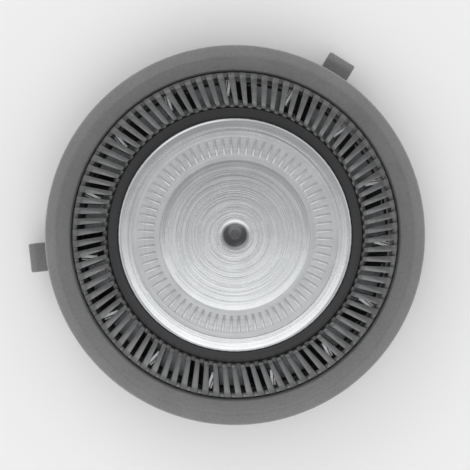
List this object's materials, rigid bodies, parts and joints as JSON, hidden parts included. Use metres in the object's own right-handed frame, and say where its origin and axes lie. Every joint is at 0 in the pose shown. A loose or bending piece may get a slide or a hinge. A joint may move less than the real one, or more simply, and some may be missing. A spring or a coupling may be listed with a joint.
{
  "type": "rotary shaver head",
  "caption": "Round shaver head with a slotted steel guard and silver centre disc in a dark ring with locating lugs, and a bladed cutter that spins behind it.",
  "frame": {"origin": "on the cutter's spin axis, in the flat face of the retaining ring that the head rests on", "axes": "+Z along the spin axis towards the shaving face, +Y midway between the two locating lugs"},
  "size_m": [0.0266, 0.026, 0.0086],
  "materials": {
    "frame_plastic": "moulded, fine satin",
    "guard_steel": "dark, finely ground shaving face",
    "disc_silver": "finely turned, clear",
    "plug_plastic": "natural moulded",
    "ring_plastic": "moulded satin",
    "carrier_plastic": "moulded satin",
    "blade_steel": "ground edges",
    "lifter_steel": "bright rolled spring strip",
    "rivet_steel": "formed heads",
    "coupling_plastic": "hard moulded",
    "pin_steel": "ground"
  },
  "bodies": {
    "head": {"frame": "frame_plastic", "guard": "guard_steel", "centre_disc": "disc_silver", "bearing_plug": "plug_plastic"},
    "ring": {"retaining_ring": "ring_plastic"},
    "cutter": {"cutter_carrier": "carrier_plastic", "blade_ring": "blade_steel", "lifter_ring": "lifter_steel", "rivets": "rivet_steel", "drive_coupling": "coupling_plastic", "centre_pin": "pin_steel"}
  },
  "joints": [
    {"name": "cutter_spin", "type": "hinge", "parent": "head", "child": "cutter", "pos_m": [0, 0, 0.006], "axis": [0, 0, 1], "continuous": true},
    {"name": "ring_turn", "type": "hinge", "parent": "head", "child": "ring", "pos_m": [0, 0, 0.002], "axis": [0, 0, 1], "range_deg": [-18, 0]}
  ]
}
